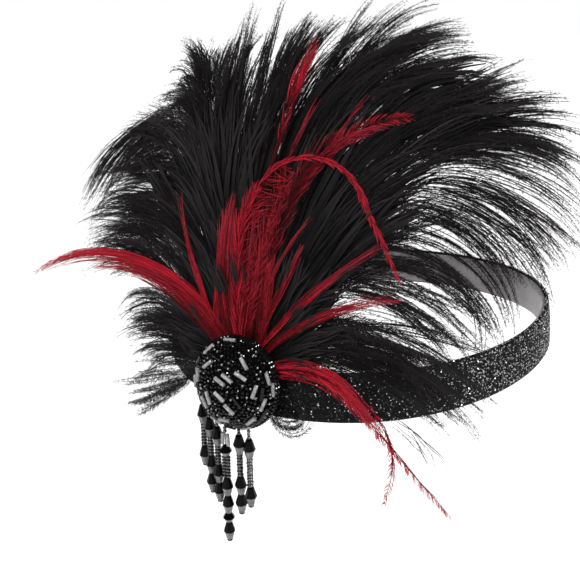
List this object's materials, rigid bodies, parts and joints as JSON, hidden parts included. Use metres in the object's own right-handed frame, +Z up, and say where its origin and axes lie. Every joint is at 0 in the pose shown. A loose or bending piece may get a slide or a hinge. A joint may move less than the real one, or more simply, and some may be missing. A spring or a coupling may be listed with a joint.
{
  "type": "feathered headband",
  "caption": "Head loop of glittered band with satin lining, domed bead brooch over one temple, hanging bead tassel, and a fanned plume of black and red feathers.",
  "frame": {"origin": "middle of the head opening, level with the band's lower edge", "axes": "+Z up, -Y to the wearer's front, +X to the wearer's left; the brooch and plume sit at the front left"},
  "size_m": [0.2046, 0.2405, 0.2073],
  "materials": {
    "glitter_cloth": "black cloth strewn with silver glitter",
    "satin_lining": "grey-purple satin",
    "black_feather": "fine black feather barbs",
    "red_feather": "crimson feather barbs",
    "black_beads": "opaque black cut glass, with silver-lit bugles"
  },
  "bodies": {
    "root": {"band": "glitter_cloth", "band_lining": "satin_lining", "black_plume": "black_feather", "red_plume": "red_feather", "brooch": "black_beads", "tassel_strand_1": "black_beads", "tassel_strand_2": "black_beads", "tassel_strand_3": "black_beads", "tassel_strand_4": "black_beads", "tassel_strand_5": "black_beads", "tassel_strand_6": "black_beads"}
  },
  "joints": []
}
